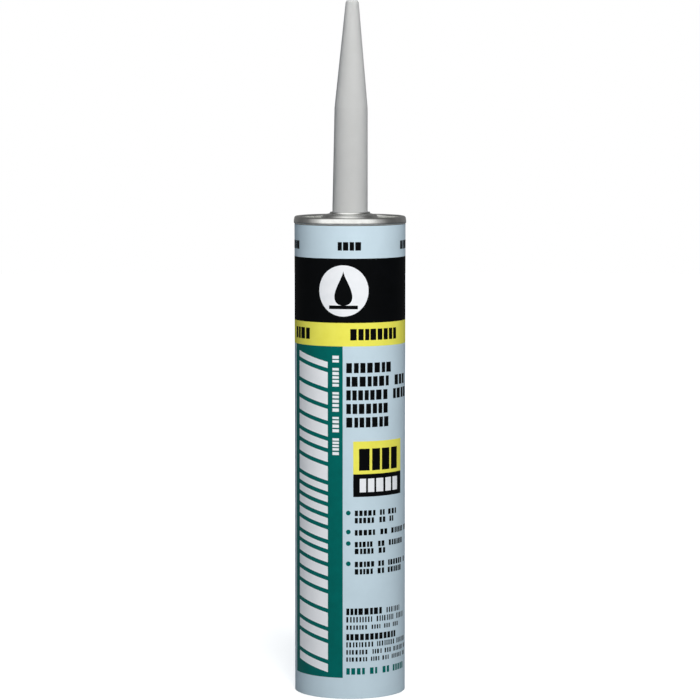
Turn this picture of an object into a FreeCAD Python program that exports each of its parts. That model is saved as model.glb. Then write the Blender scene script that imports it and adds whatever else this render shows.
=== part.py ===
import FreeCAD
import Part
import math
import os
import Sketcher

# Ten-ounce caulking cartridge, standing on the open end of its tube.
# Origin: centre of the tube's bottom edge. +Z runs up the tube to the tip of the nozzle.
# The front of the label faces -Y. All sizes are in millimetres, all angles in degrees.

PARTS_FOLDER = "parts"
FULL_TURN = 360

# Driving sizes: name, value, what it is
SIZES = [
    ("cartridge_height", 215.9, "bottom edge to the top of the metal rim"),
    ("label_diameter", 50.1, "outside of the label"),
    ("label_paper", 0.18, "thickness of the label"),
    ("lap_width", 8.0, "width of the label's glued lap at the back"),
    ("lap_step", 0.08, "how far the lap stands up"),
    ("board_wall", 1.17, "wound board of the tube"),
    ("liner_wall", 0.2, "foil liner inside the board"),
    ("liner_setback", 0.5, "liner stops this far under the top of the board"),
    ("crimp_depth", 0.52, "how far the board is pressed in under the rim"),
    ("crimp_slope", 0.45, "height of the slope into the pressed-in part"),
    ("label_gap", 0.25, "label stops this far under the rim"),
    ("tinplate", 0.28, "thickness of the metal end"),
    ("rim_overhang", 0.3, "how far the rolled rim stands out past the label"),
    ("rim_depth", 3.25, "top of the rim to the bottom of its roll"),
    ("rim_bulge", 2.05, "top of the rim down to its widest point"),
    ("rim_lean", 0.32, "how far the rim leans in above its widest point"),
    ("rim_shoulder_round", 1.0, "outer round of the rim's crown"),
    ("rim_inner_round", 0.7, "inner round of the rim's crown"),
    ("hem_width", 0.84, "width of the roll that closes under the rim"),
    ("hem_height", 1.2, "height of the tucked-in edge"),
    ("hem_round", 0.36, "bend of the roll"),
    ("wall_clearance", 0.05, "metal end to the liner"),
    ("panel_depth", 3.2, "top of the rim down to the flat panel"),
    ("groove_depth", 1.5, "stiffening groove below the panel"),
    ("groove_width", 1.4, "stiffening groove"),
    ("groove_round", 0.6, "bends of the groove"),
    ("panel_round", 0.7, "bend from the groove to the panel"),
    ("boss_margin", 3.9, "raised boss, from its hole out to its shoulder"),
    ("boss_flare", 2.2, "raised boss, from its shoulder out to its foot"),
    ("boss_foot_round", 0.8, "bend at the foot of the boss"),
    ("boss_shoulder_round", 1.0, "bend at the shoulder"),
    ("boss_rise", 2.15, "top of the boss over the top of the rim"),
    ("boss_fall", 1.55, "fall from the hole to the shoulder"),
    ("gasket_height", 0.3, "sealing ring between the board and the rim"),
    ("gasket_width", 0.62, "sealing ring"),
    ("gasket_clearance", 0.05, "sealing ring to the underside of the rim"),
    ("nozzle_base_radius", 7.95, "outside of the nozzle in the hole of the boss"),
    ("nozzle_bend_radius", 7.43, "outside of the nozzle where its taper changes"),
    ("nozzle_bend_height", 46.4, "boss to the change of taper"),
    ("nozzle_tip_radius", 2.79, "outside of the nozzle at its closed tip"),
    ("nozzle_length", 94.9, "boss to the tip"),
    ("nozzle_tip_round", 1.8, "round of the closed tip"),
    ("nozzle_wall", 1.3, "wall of the nozzle"),
    ("nozzle_tip_wall", 3.0, "solid end of the nozzle"),
    ("nozzle_lean", 0.6, "lean of the nozzle towards +X, degrees"),
    ("nozzle_clearance", 0.12, "nozzle to the edge of the hole"),
    ("flange_overlap", 2.1, "how far the flange reaches under the boss"),
    ("flange_clearance", 0.2, "top of the flange to the underside of the boss"),
    ("flange_edge", 1.2, "height of the rim of the flange"),
    ("membrane_foil", 0.15, "seal over the inner end of the nozzle"),
    ("membrane_margin", 0.3, "seal stops this far inside the flange"),
    ("fill_length", 174.4, "column of sealant"),
    ("fill_clearance", 0.1, "sealant to the liner, the metal end and the plunger"),
    ("plunger_height", 16.0, "height of the plunger"),
    ("plunger_clearance", 0.1, "lips of the plunger to the liner, on the radius"),
    ("plunger_relief", 0.5, "barrel of the plunger inside its lips"),
    ("plunger_wall", 1.4, "wall of the plunger's cup"),
    ("plunger_crown", 1.6, "thickness of the plunger's face"),
    ("lip_height", 1.8, "height of each wiping lip"),
    ("lip_slope", 0.7, "height of the slope behind each lip"),
    ("lip_round", 0.35, "round on the edge of each lip"),
    ("cup_round", 1.5, "round inside the plunger's cup"),
    ("hub_radius", 4.0, "boss in the middle of the plunger's cup"),
    ("rib_count", 8, "ribs in the plunger's cup"),
    ("rib_thickness", 1.2, "rib"),
    ("rib_depth", 5.0, "how far the ribs and the hub stand down in the cup"),
]

# Places worked out from the driving sizes, as expressions
BOARD_RADIUS = "(Sizes.label_diameter / 2 - Sizes.label_paper)"
BOARD_BORE = f"({BOARD_RADIUS} - Sizes.board_wall)"
LINER_BORE = f"({BOARD_BORE} - Sizes.liner_wall)"
RIM_RADIUS = "(Sizes.label_diameter / 2 + Sizes.rim_overhang)"
RIM_BOTTOM = "(Sizes.cartridge_height - Sizes.rim_depth)"
LABEL_TOP = f"({RIM_BOTTOM} - Sizes.label_gap)"
BOARD_TOP = "(Sizes.cartridge_height - Sizes.tinplate - Sizes.gasket_clearance - Sizes.gasket_height)"
CRIMP_RADIUS = f"({BOARD_RADIUS} - Sizes.crimp_depth)"
END_WALL_RADIUS = f"({LINER_BORE} - Sizes.wall_clearance - Sizes.tinplate)"
PANEL_HEIGHT = "(Sizes.cartridge_height - Sizes.panel_depth)"
GROOVE_BOTTOM = f"({PANEL_HEIGHT} - Sizes.groove_depth)"
BOSS_TOP = "(Sizes.cartridge_height + Sizes.boss_rise)"
BOSS_HOLE_RADIUS = "(Sizes.nozzle_base_radius + Sizes.nozzle_clearance)"
BOSS_SHOULDER_RADIUS = f"({BOSS_HOLE_RADIUS} + Sizes.boss_margin)"
BOSS_SLOPE = "(Sizes.boss_fall / Sizes.boss_margin)"
FLANGE_RADIUS = "(Sizes.nozzle_base_radius + Sizes.flange_overlap)"
FLANGE_TOP = f"(Sizes.tinplate * sqrt(1 + {BOSS_SLOPE} ^ 2) + Sizes.flange_clearance)"
FLANGE_EDGE_TOP = f"({FLANGE_TOP} + {BOSS_SLOPE} * Sizes.flange_overlap)"
FLANGE_BOTTOM = f"({FLANGE_EDGE_TOP} + Sizes.flange_edge)"
FILL_TOP = f"({GROOVE_BOTTOM} - Sizes.tinplate - Sizes.fill_clearance)"
FILL_BOTTOM = f"({FILL_TOP} - Sizes.fill_length)"
PLUNGER_BASE = f"({FILL_BOTTOM} - Sizes.fill_clearance - Sizes.plunger_height)"
PLUNGER_RADIUS = f"({LINER_BORE} - Sizes.plunger_clearance)"
BARREL_RADIUS = f"({PLUNGER_RADIUS} - Sizes.plunger_relief)"
CUP_RADIUS = f"({BARREL_RADIUS} - Sizes.plunger_wall)"
CUP_ROOF = "(Sizes.plunger_height - Sizes.plunger_crown)"
RIB_FOOT = f"({CUP_ROOF} - Sizes.rib_depth)"

doc = FreeCAD.newDocument("cartridge")


# Spreadsheet

def write_sizes():
    """Put every driving size into the sheet, each under its own name."""
    sheet = doc.addObject("Spreadsheet::Sheet", "Sizes")
    for row, (name, value, meaning) in enumerate(SIZES, start=1):
        sheet.set(f"A{row}", name)
        sheet.set(f"B{row}", str(value))
        sheet.set(f"C{row}", meaning)
        sheet.setAlias(f"B{row}", name)
    doc.recompute()
    return sheet


sizes = write_sizes()


# Sketch helpers

def origin_feature(body, role):
    """The origin plane or axis of a body with the given role."""
    return [item for item in body.Origin.OriginFeatures if item.Role == role][0]


def new_body(name):
    """An empty body whose label names its piece."""
    body = doc.addObject("PartDesign::Body", name)
    body.Label = name
    return body


def body_sketch(body, name, plane, lift=None):
    """An empty sketch on one of the body's origin planes, lifted along its normal."""
    sketch = body.newObject("Sketcher::SketchObject", name)
    sketch.AttachmentSupport = (origin_feature(body, plane), "")
    sketch.MapMode = "FlatFace"
    if lift is not None:
        sketch.setExpression("AttachmentOffset.Base.z", lift)
    return sketch


def drive(sketch, constraint, expression):
    """Add a dimension to the sketch and bind it to the sheet."""
    index = sketch.addConstraint(constraint)
    sketch.setExpression(f"Constraints[{index}]", expression)


def draw_outline(sketch, corners, rounds, closed=True):
    """Straight edges through the corners, each corner placed from the sheet, then the named rounds.

    corners: (across, up) pairs of expressions. rounds: corner number to the name of its radius.
    """
    count = len(corners)
    edges = count if closed else count - 1
    for edge in range(edges):
        start = FreeCAD.Vector(1 + edge, 1 + edge ** 2, 0)
        after = (edge + 1) % count
        end = FreeCAD.Vector(1 + after, 1 + after ** 2, 0)
        sketch.addGeometry(Part.LineSegment(start, end), False)
    for edge in range(edges if closed else edges - 1):
        sketch.addConstraint(Sketcher.Constraint("Coincident", edge, 2, (edge + 1) % count, 1))
    for corner, (across, up) in enumerate(corners):
        edge, point = (corner, 1) if corner < edges else (corner - 1, 2)
        drive(sketch, Sketcher.Constraint("DistanceX", edge, point, 1.0), across)
        drive(sketch, Sketcher.Constraint("DistanceY", edge, point, 1.0), up)
    doc.recompute()
    for corner, radius in rounds.items():
        sketch.fillet(corner, 1, sizes.get(radius), True, True)
        arc = [i for i, item in enumerate(sketch.Geometry) if isinstance(item, Part.ArcOfCircle)][-1]
        drive(sketch, Sketcher.Constraint("Radius", arc, sizes.get(radius)), f"Sizes.{radius}")
    doc.recompute()


def draw_circles(sketch, radii):
    """Circles about the sketch's origin, one for each radius expression."""
    for index, radius in enumerate(radii):
        sketch.addGeometry(Part.Circle(FreeCAD.Vector(), FreeCAD.Vector(0, 0, 1), 1 + index), False)
        sketch.addConstraint(Sketcher.Constraint("Coincident", index, 3, -1, 1))
        drive(sketch, Sketcher.Constraint("Radius", index, 1.0 + index), radius)
    doc.recompute()


def pad(body, sketch, name, length):
    """Thicken a sketch along its normal."""
    feature = body.newObject("PartDesign::Pad", name)
    feature.Profile = sketch
    feature.setExpression("Length", length)
    doc.recompute()
    return feature


def revolve(body, sketch, name):
    """Turn a profile a full circle about the body's upright axis."""
    feature = body.newObject("PartDesign::Revolution", name)
    feature.Profile = sketch
    feature.ReferenceAxis = (sketch, ["V_Axis"])
    feature.Angle = FULL_TURN
    doc.recompute()
    return feature


def ring_body(name, radii, bottom, height):
    """A body that is one disc or ring: its radii, its underside and its height."""
    body = new_body(name)
    sketch = body_sketch(body, f"{name}_section", "XY_Plane", bottom)
    draw_circles(sketch, radii)
    pad(body, sketch, f"{name}_length", height)
    return body


def follow_nozzle(body):
    """Seat a body on the boss, leaning as the nozzle leans."""
    body.Placement = FreeCAD.Placement(
        FreeCAD.Vector(),
        FreeCAD.Rotation(FreeCAD.Vector(0, 1, 0), sizes.get("nozzle_lean")),
    )
    body.setExpression("Placement.Base.z", BOSS_TOP)
    body.setExpression("Placement.Rotation.Angle", "Sizes.nozzle_lean")


# Tube of wound board, pressed in under the rim

def make_tube_body():
    body = new_body("tube_body")
    sketch = body_sketch(body, "tube_body_profile", "XZ_Plane")
    corners = [
        (BOARD_BORE, "0"),
        (BOARD_RADIUS, "0"),
        (BOARD_RADIUS, f"{LABEL_TOP} - Sizes.crimp_slope / 2"),
        (CRIMP_RADIUS, f"{LABEL_TOP} + Sizes.crimp_slope / 2"),
        (CRIMP_RADIUS, BOARD_TOP),
        (BOARD_BORE, BOARD_TOP),
    ]
    draw_outline(sketch, corners, {})
    revolve(body, sketch, "tube_body_turn")
    return body


# Foil liner glued inside the tube

def make_foil_liner():
    return ring_body("foil_liner", [LINER_BORE, BOARD_BORE], "0", f"{BOARD_TOP} - Sizes.liner_setback")


# Printed paper label with its glued lap at the back

def make_label():
    body = ring_body("label", [BOARD_RADIUS, "Sizes.label_diameter / 2"], "0", LABEL_TOP)
    sketch = body_sketch(body, "label_lap_section", "XY_Plane")
    half_lap = sizes.get("lap_width") / 2
    label_radius = sizes.get("label_diameter") / 2
    paper_middle = label_radius - sizes.get("label_paper") / 2
    lap_radius = label_radius + sizes.get("lap_step")
    tops = [math.sqrt(radius ** 2 - half_lap ** 2) for radius in (paper_middle, lap_radius)]
    for radius, top in zip((paper_middle, lap_radius), tops):
        circle = Part.Circle(FreeCAD.Vector(), FreeCAD.Vector(0, 0, 1), radius)
        start = math.atan2(top, half_lap)
        sketch.addGeometry(Part.ArcOfCircle(circle, start, math.pi - start), False)
    for side in (half_lap, -half_lap):
        ends = [FreeCAD.Vector(side, top, 0) for top in tops]
        sketch.addGeometry(Part.LineSegment(*ends), False)
    inner_arc, outer_arc, right_edge, left_edge = range(4)
    for arc in (inner_arc, outer_arc):
        sketch.addConstraint(Sketcher.Constraint("Coincident", arc, 3, -1, 1))
    for edge, point in ((right_edge, 1), (left_edge, 2)):
        sketch.addConstraint(Sketcher.Constraint("Vertical", edge))
        sketch.addConstraint(Sketcher.Constraint("Coincident", inner_arc, point, edge, 1))
        sketch.addConstraint(Sketcher.Constraint("Coincident", outer_arc, point, edge, 2))
    paper_radius = "Sizes.label_diameter / 2 - Sizes.label_paper / 2"
    raised_radius = "Sizes.label_diameter / 2 + Sizes.lap_step"
    drive(sketch, Sketcher.Constraint("Radius", inner_arc, paper_middle), paper_radius)
    drive(sketch, Sketcher.Constraint("Radius", outer_arc, lap_radius), raised_radius)
    drive(sketch, Sketcher.Constraint("DistanceX", -1, 1, right_edge, 1, half_lap), "Sizes.lap_width / 2")
    drive(sketch, Sketcher.Constraint("DistanceX", left_edge, 1, -1, 1, half_lap), "Sizes.lap_width / 2")
    doc.recompute()
    pad(body, sketch, "label_lap", LABEL_TOP)
    return body


# Metal end: one stamping, drawn as its visible side and thickened inwards

def make_top_end():
    sketch = doc.addObject("Sketcher::SketchObject", "top_end_skin")
    sketch.Placement = FreeCAD.Placement(
        FreeCAD.Vector(),
        FreeCAD.Rotation(FreeCAD.Vector(1, 0, 0), 90),
    )
    hem_radius = f"{RIM_RADIUS} - Sizes.hem_width"
    bulge_height = "Sizes.cartridge_height - Sizes.rim_bulge"
    groove_inside = f"{END_WALL_RADIUS} - Sizes.groove_width"
    corners = [
        (hem_radius, f"{RIM_BOTTOM} + Sizes.hem_height"),
        (hem_radius, RIM_BOTTOM),
        (RIM_RADIUS, RIM_BOTTOM),
        (RIM_RADIUS, bulge_height),
        (f"{RIM_RADIUS} - Sizes.rim_lean", "Sizes.cartridge_height"),
        (END_WALL_RADIUS, "Sizes.cartridge_height"),
        (END_WALL_RADIUS, GROOVE_BOTTOM),
        (groove_inside, GROOVE_BOTTOM),
        (groove_inside, PANEL_HEIGHT),
        (f"{BOSS_SHOULDER_RADIUS} + Sizes.boss_flare", PANEL_HEIGHT),
        (BOSS_SHOULDER_RADIUS, f"{BOSS_TOP} - Sizes.boss_fall"),
        (BOSS_HOLE_RADIUS, BOSS_TOP),
    ]
    rounds = {
        1: "hem_round",
        2: "hem_round",
        4: "rim_shoulder_round",
        5: "rim_inner_round",
        6: "groove_round",
        7: "groove_round",
        8: "panel_round",
        9: "boss_foot_round",
        10: "boss_shoulder_round",
    }
    draw_outline(sketch, corners, rounds, closed=False)
    section = doc.addObject("Part::Offset2D", "top_end_section")
    section.Source = sketch
    section.Mode = "Skin"
    section.Join = "Intersection"
    section.Fill = True
    section.setExpression("Value", "Sizes.tinplate")
    doc.recompute()
    end = doc.addObject("Part::Revolution", "top_end")
    end.Label = "top_end"
    end.Source = section
    end.Axis = FreeCAD.Vector(0, 0, 1)
    end.Base = FreeCAD.Vector()
    end.Angle = FULL_TURN
    end.Solid = True
    doc.recompute()
    return end


# Sealing ring squeezed between the edge of the board and the rim

def make_seam_gasket():
    inner = f"{CRIMP_RADIUS} - Sizes.gasket_width"
    return ring_body("seam_gasket", [inner, CRIMP_RADIUS], BOARD_TOP, "Sizes.gasket_height")


# Moulded nozzle with a closed tip, held by its flange under the boss

def make_nozzle():
    body = new_body("nozzle")
    follow_nozzle(body)
    sketch = body_sketch(body, "nozzle_profile", "XZ_Plane")
    upper_length = "(Sizes.nozzle_length - Sizes.nozzle_bend_height)"
    taper = f"(Sizes.nozzle_bend_radius - Sizes.nozzle_tip_radius) / {upper_length}"
    tip_bore = f"Sizes.nozzle_tip_radius + {taper} * Sizes.nozzle_tip_wall - Sizes.nozzle_wall"
    corners = [
        ("Sizes.nozzle_base_radius - Sizes.nozzle_wall", f"-{FLANGE_BOTTOM}"),
        (FLANGE_RADIUS, f"-{FLANGE_BOTTOM}"),
        (FLANGE_RADIUS, f"-{FLANGE_EDGE_TOP}"),
        ("Sizes.nozzle_base_radius", f"-{FLANGE_TOP}"),
        ("Sizes.nozzle_base_radius", "0"),
        ("Sizes.nozzle_bend_radius", "Sizes.nozzle_bend_height"),
        ("Sizes.nozzle_tip_radius", "Sizes.nozzle_length"),
        ("0", "Sizes.nozzle_length"),
        ("0", "Sizes.nozzle_length - Sizes.nozzle_tip_wall"),
        (tip_bore, "Sizes.nozzle_length - Sizes.nozzle_tip_wall"),
        ("Sizes.nozzle_bend_radius - Sizes.nozzle_wall", "Sizes.nozzle_bend_height"),
    ]
    draw_outline(sketch, corners, {6: "nozzle_tip_round"})
    revolve(body, sketch, "nozzle_turn")
    return body


# Foil seal across the inner end of the nozzle

def make_nozzle_membrane():
    radius = f"{FLANGE_RADIUS} - Sizes.membrane_margin"
    lift = f"-({FLANGE_BOTTOM} + Sizes.membrane_foil)"
    body = ring_body("nozzle_membrane", [radius], lift, "Sizes.membrane_foil")
    follow_nozzle(body)
    return body


# Sealant that fills the tube from the plunger to the metal end

def make_sealant():
    radius = f"{LINER_BORE} - Sizes.fill_clearance"
    return ring_body("sealant", [radius], FILL_BOTTOM, "Sizes.fill_length")


# Plunger: a moulded cup, open downwards, with two wiping lips and ribs under its face

def make_plunger():
    body = new_body("plunger")
    body.setExpression("Placement.Base.z", PLUNGER_BASE)
    sketch = body_sketch(body, "plunger_profile", "XZ_Plane")
    upper_lip = "(Sizes.plunger_height - Sizes.lip_height)"
    corners = [
        (CUP_RADIUS, "0"),
        (PLUNGER_RADIUS, "0"),
        (PLUNGER_RADIUS, "Sizes.lip_height"),
        (BARREL_RADIUS, "Sizes.lip_height + Sizes.lip_slope"),
        (BARREL_RADIUS, f"{upper_lip} - Sizes.lip_slope"),
        (PLUNGER_RADIUS, upper_lip),
        (PLUNGER_RADIUS, "Sizes.plunger_height"),
        ("0", "Sizes.plunger_height"),
        ("0", CUP_ROOF),
        (CUP_RADIUS, CUP_ROOF),
    ]
    rounds = {1: "lip_round", 6: "lip_round", 9: "cup_round"}
    draw_outline(sketch, corners, rounds)
    revolve(body, sketch, "plunger_cup")

    hub = body_sketch(body, "plunger_hub_section", "XY_Plane", RIB_FOOT)
    draw_circles(hub, ["Sizes.hub_radius"])
    pad(body, hub, "plunger_hub", "Sizes.rib_depth + Sizes.plunger_crown / 2")

    rib_sketch = body_sketch(body, "plunger_rib_section", "XY_Plane", RIB_FOOT)
    reach = f"{CUP_RADIUS} + Sizes.plunger_wall / 2"
    half = "Sizes.rib_thickness / 2"
    rib_corners = [
        ("Sizes.hub_radius / 2", f"-{half}"),
        (reach, f"-{half}"),
        (reach, half),
        ("Sizes.hub_radius / 2", half),
    ]
    draw_outline(rib_sketch, rib_corners, {})
    rib = pad(body, rib_sketch, "plunger_rib", "Sizes.rib_depth + Sizes.plunger_crown / 2")

    ribs = body.newObject("PartDesign::PolarPattern", "plunger_ribs")
    ribs.Originals = [rib]
    ribs.Axis = (origin_feature(body, "Z_Axis"), [""])
    ribs.Angle = FULL_TURN
    ribs.setExpression("Occurrences", "Sizes.rib_count")
    body.Tip = ribs
    doc.recompute()
    return body


# Check and export

def check_document():
    """Stop if any object of the document failed to build."""
    for item in doc.Objects:
        if "Invalid" in item.State or "Error" in item.State:
            raise RuntimeError(f"{item.Label} failed: {item.State}")


def export(pieces):
    """Write each piece to a file named for it, once it is a sound single solid."""
    for piece in pieces:
        shape = piece.Shape
        if shape.isNull() or not shape.isValid() or len(shape.Solids) != 1:
            raise RuntimeError(f"{piece.Label} is not one sound solid")
    os.makedirs(PARTS_FOLDER, exist_ok=True)
    for piece in pieces:
        piece.Shape.exportStep(f"{PARTS_FOLDER}/{piece.Label}.step")
        print(f"{piece.Label}: {piece.Shape.Volume / 1000:.2f} cm3")


pieces = [
    make_tube_body(),
    make_foil_liner(),
    make_label(),
    make_top_end(),
    make_seam_gasket(),
    make_nozzle(),
    make_nozzle_membrane(),
    make_sealant(),
    make_plunger(),
]
doc.recompute()
check_document()
export(pieces)
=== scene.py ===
"""Looks of a ten-ounce caulking cartridge: printed tube, rolled metal end, closed nozzle, plunger.

Every size of the part is in millimetres in its own frame: z up the tube from its bottom edge, the front
of the label towards -Y. Meshes are turned to metres when they are made. Only the lamps and the floor are
laid out in metres.
"""

import logging
import math
from dataclasses import dataclass
from enum import Enum
from functools import cache

import bmesh
import bpy
import numpy as np
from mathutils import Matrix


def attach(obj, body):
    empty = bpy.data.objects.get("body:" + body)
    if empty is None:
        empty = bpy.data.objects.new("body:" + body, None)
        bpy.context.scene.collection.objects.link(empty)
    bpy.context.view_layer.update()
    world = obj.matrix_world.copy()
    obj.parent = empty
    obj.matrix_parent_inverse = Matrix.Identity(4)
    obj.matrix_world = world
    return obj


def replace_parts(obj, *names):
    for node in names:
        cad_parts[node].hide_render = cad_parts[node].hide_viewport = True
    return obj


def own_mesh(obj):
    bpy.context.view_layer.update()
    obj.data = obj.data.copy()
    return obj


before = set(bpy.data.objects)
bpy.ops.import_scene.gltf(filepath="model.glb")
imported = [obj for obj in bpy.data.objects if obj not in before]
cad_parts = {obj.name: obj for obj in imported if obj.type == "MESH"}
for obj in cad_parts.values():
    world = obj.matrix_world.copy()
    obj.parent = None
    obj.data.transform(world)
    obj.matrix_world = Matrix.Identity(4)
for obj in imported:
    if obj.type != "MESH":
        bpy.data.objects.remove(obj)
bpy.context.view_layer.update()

MM = 0.001
FULL_TURN = 2.0 * math.pi
WELD_METRES = 1e-7
SUBSURFACE_WEIGHT = 0.8
SUBSURFACE_TINT = (1.0, 0.97, 0.95)
WHITE = (1.0, 1.0, 1.0, 1.0)
LOG = logging.getLogger("cartridge")
Colour = tuple[float, float, float, float]
Point = tuple[float, float]


# Colour and nodes


def srgb(colour: str) -> Colour:
    """Turn an sRGB hex colour to the linear colour that a shader takes.

    Each channel c becomes c / 12.92 up to 0.04045, and ((c + 0.055) / 1.055) to the power 2.4 above.

    Args:
        colour: six hex digits, with or without a leading '#'.

    Returns:
        Linear red, green and blue, and an alpha of one.
    """
    digits = colour.lstrip("#")
    channels = np.array([int(digits[i : i + 2], 16) for i in (0, 2, 4)]) / 255.0
    linear = np.where(channels <= 0.04045, channels / 12.92, ((channels + 0.055) / 1.055) ** 2.4)
    return (*[float(c) for c in linear], 1.0)


def per_mm(size_mm: float) -> float:
    """Texture scale, in features per metre, of a feature that is size_mm across."""
    return 1.0 / (size_mm * MM)


def empty_tree(owner: bpy.types.Material | bpy.types.World) -> bpy.types.NodeTree:
    """Give a material or a world its node tree, with nothing in it."""
    owner.use_nodes = True
    owner.node_tree.nodes.clear()
    return owner.node_tree


def link_object(name: str, data: bpy.types.ID) -> bpy.types.Object:
    """Put a mesh, a lamp or a camera into the scene as an object."""
    made = bpy.data.objects.new(name, data)
    bpy.context.scene.collection.objects.link(made)
    return made


def add_node(
    tree: bpy.types.NodeTree,
    kind: str,
    inputs: dict | None = None,
    stops: list[tuple[float, Colour]] | None = None,
    **settings,
) -> bpy.types.Node:
    """Add a node with its settings, its sockets' values and its links.

    Args:
        tree: the node tree that takes it.
        kind: the node's type name.
        inputs: socket name or number to a value, or to another node's output to link from.
        stops: places and colours of a colour ramp.
        **settings: the node's own properties.

    Returns:
        The new node.
    """
    node = tree.nodes.new(kind)
    for name, value in settings.items():
        setattr(node, name, value)
    for socket, value in (inputs or {}).items():
        if isinstance(value, bpy.types.NodeSocket):
            tree.links.new(value, node.inputs[socket])
        else:
            node.inputs[socket].default_value = value
    if stops:
        elements = node.color_ramp.elements
        while len(elements) < len(stops):
            elements.new(0.5)
        for element, (place, colour) in zip(elements, stops):
            element.position = place
            element.color = colour
    return node


@dataclass(frozen=True)
class Finish:
    """What one real material looks like: two shades that noise mixes, its gloss and its fine relief.

    Attributes:
        name: the material's common name and how its surface was made.
        pale: the lighter shade, sRGB hex.
        deep: the darker shade, sRGB hex.
        mottle_mm: size of the patches that the two shades make.
        roughness: lowest and highest roughness over the surface.
        grain_mm: size of the surface's relief.
        relief_mm: height of that relief.
        metallic: one for bare metal.
        ior: index of refraction of a material that isn't metal.
        subsurface_mm: depth that light reaches, or nothing.
        specular: share of the usual mirror reflection, which a matte varnish scatters.
    """

    name: str
    pale: str
    deep: str
    mottle_mm: float
    roughness: tuple[float, float]
    grain_mm: float
    relief_mm: float
    metallic: float = 0.0
    ior: float = 1.5
    subsurface_mm: float = 0.0
    specular: float = 0.5

    def build(self) -> bpy.types.Material:
        """Make the material's nodes, all on Object coordinates.

        Returns:
            The material.
        """
        material = bpy.data.materials.new(self.name)
        tree = empty_tree(material)
        vector = add_node(tree, "ShaderNodeTexCoord").outputs["Object"]
        patches = add_node(
            tree,
            "ShaderNodeTexNoise",
            {"Vector": vector, "Scale": per_mm(self.mottle_mm), "Detail": 4.0, "Roughness": 0.6},
        )
        shade = add_node(
            tree,
            "ShaderNodeValToRGB",
            {"Fac": patches.outputs["Fac"]},
            stops=[(0.35, srgb(self.deep)), (0.65, srgb(self.pale))],
        )
        grain = add_node(
            tree, "ShaderNodeTexNoise", {"Vector": vector, "Scale": per_mm(self.grain_mm), "Detail": 3.0}
        )
        low, high = self.roughness
        ranges = {"From Min": 0.3, "From Max": 0.7, "To Min": low, "To Max": high}
        gloss = add_node(tree, "ShaderNodeMapRange", {"Value": patches.outputs["Fac"], **ranges})
        bump = add_node(
            tree,
            "ShaderNodeBump",
            {"Height": grain.outputs["Fac"], "Distance": self.relief_mm * MM, "Strength": 1.0},
        )
        shader = add_node(
            tree,
            "ShaderNodeBsdfPrincipled",
            {
                "Base Color": shade.outputs["Color"],
                "Roughness": gloss.outputs["Result"],
                "Normal": bump.outputs["Normal"],
                "Metallic": self.metallic,
                "Specular IOR Level": self.specular,
            },
        )
        if not self.metallic:
            shader.inputs["IOR"].default_value = self.ior
        if self.subsurface_mm:
            shader.inputs["Subsurface Weight"].default_value = SUBSURFACE_WEIGHT
            shader.inputs["Subsurface Radius"].default_value = SUBSURFACE_TINT
            shader.inputs["Subsurface Scale"].default_value = self.subsurface_mm * MM
        add_node(tree, "ShaderNodeOutputMaterial", {"Surface": shader.outputs["BSDF"]})
        return material


@cache
def material_of(finish: Finish) -> bpy.types.Material:
    """The material of a finish, built when it is first asked for."""
    return finish.build()


# Coated label paper, printed by offset under a matte varnish: smooth, with hardly any shine
COATED_PAPER = Finish(
    "coated_label_paper", "#CADDE9", "#C6D9E5", 9.0, (0.5, 0.58), 0.6, 0.0015, specular=0.12
)
# Solid fields of printing ink under the same varnish
INK_BLACK = Finish("offset_ink_black", "#07080A", "#050607", 5.0, (0.5, 0.58), 0.5, 0.001, specular=0.05)
INK_YELLOW = Finish("offset_ink_yellow", "#F4EE62", "#F0E95A", 5.0, (0.5, 0.58), 0.5, 0.0012, specular=0.12)
INK_GREEN = Finish("offset_ink_sea_green", "#006661", "#00605B", 5.0, (0.48, 0.56), 0.5, 0.0012, specular=0.1)
INK_WHITE = Finish("offset_ink_white", "#F2F3F8", "#EDEFF4", 5.0, (0.5, 0.58), 0.5, 0.0012, specular=0.12)
# Tinned steel sheet, drawn in a press: bright and silvery, with fine handling marks
TINPLATE = Finish("drawn_tinplate", "#F1F2EF", "#E7E8E4", 4.0, (0.12, 0.22), 1.6, 0.003, metallic=1.0)
# Spirally wound board of recycled fibre, cut across its plies
WOUND_BOARD = Finish("wound_recycled_board", "#B39A77", "#93795A", 1.2, (0.85, 0.95), 0.25, 0.02, ior=1.45)
# Aluminium foil glued to kraft paper: bright but not a mirror
LINER_FOIL = Finish(
    "laminated_aluminium_foil", "#D4D5D6", "#C2C3C5", 2.5, (0.28, 0.4), 0.8, 0.004, metallic=1.0
)
# Lacquered aluminium foil heat-sealed to the flange
SEAL_FOIL = Finish("heat_sealed_foil", "#DADBDC", "#C8C9CA", 2.0, (0.22, 0.35), 0.7, 0.004, metallic=1.0)
# Vulcanised lining compound flowed into the rim
LINING_COMPOUND = Finish("lining_compound", "#2B2B2D", "#1E1E20", 1.0, (0.5, 0.6), 0.4, 0.004, ior=1.52)
# Low-density polyethylene, pigmented grey and injection moulded: satin and slightly waxy
GREY_POLYETHYLENE = Finish(
    "moulded_grey_polyethylene", "#C8C8C8", "#C4C4C4", 14.0, (0.42, 0.5), 1.2, 0.003,
    ior=1.51, subsurface_mm=1.6, specular=0.3,
)
# High-density polyethylene left its own milky white, injection moulded
WHITE_POLYETHYLENE = Finish(
    "moulded_white_polyethylene", "#E8E7E0", "#DFDED6", 6.0, (0.36, 0.44), 1.0, 0.003,
    ior=1.53, subsurface_mm=1.2,
)
# Grey polyurethane paste: wet and dense
SEALANT_PASTE = Finish("polyurethane_paste", "#A3A29E", "#93928E", 4.0, (0.3, 0.42), 3.0, 0.05, ior=1.5)


# Surfaces


@dataclass
class Patch:
    """One surface as arrays: its points, one row each, and its four-cornered faces."""

    points: np.ndarray
    faces: np.ndarray


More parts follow.
